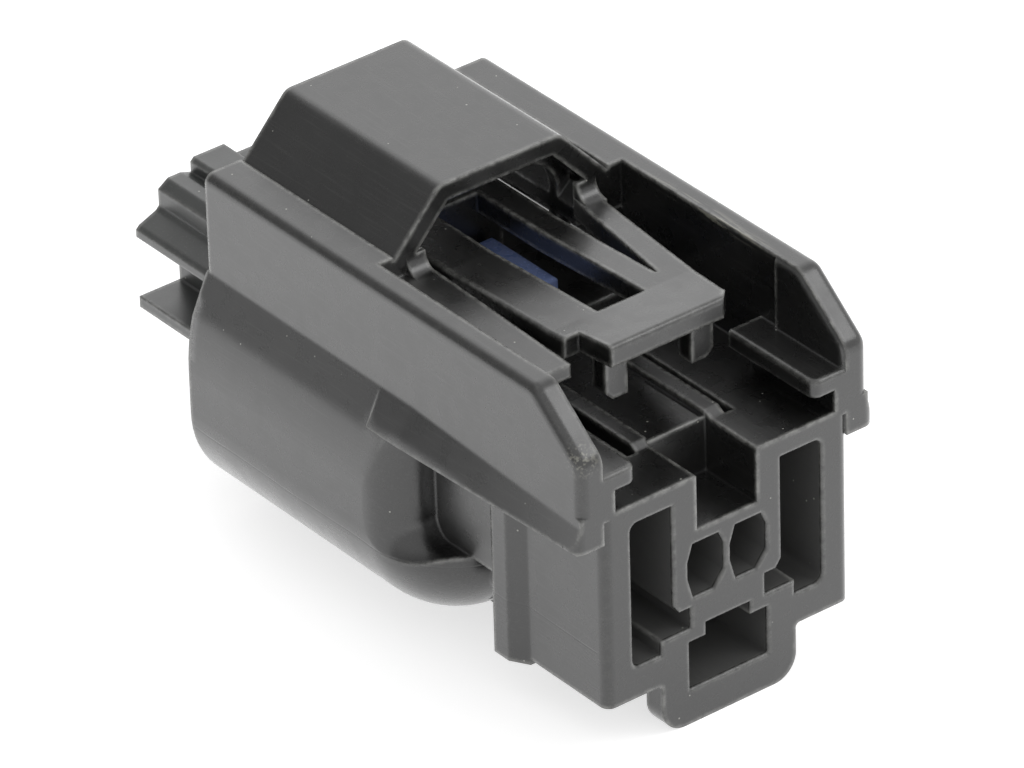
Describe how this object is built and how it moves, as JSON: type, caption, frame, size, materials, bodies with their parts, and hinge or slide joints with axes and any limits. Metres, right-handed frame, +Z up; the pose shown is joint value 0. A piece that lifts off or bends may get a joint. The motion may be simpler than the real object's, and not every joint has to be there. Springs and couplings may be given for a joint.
{
  "type": "connector housing",
  "caption": "Rectangular hooded plug housing with guard wings, a flexible latch arm under an arch and a stepped front holder.",
  "frame": {"origin": "middle of the width, on the wire side face, level with the underside of the keel", "axes": "+Y along the plug from the wire side to the mating end, +Z up through the latch arm, +X across the width"},
  "size_m": [0.0194, 0.0352, 0.0219],
  "materials": {
    "black_plastic": "fine satin, glass filled",
    "grey_plastic": "fine satin",
    "blue_plastic": "smooth"
  },
  "bodies": {
    "root": {"housing": "black_plastic", "front_holder": "grey_plastic", "lock": "blue_plastic"}
  },
  "joints": []
}
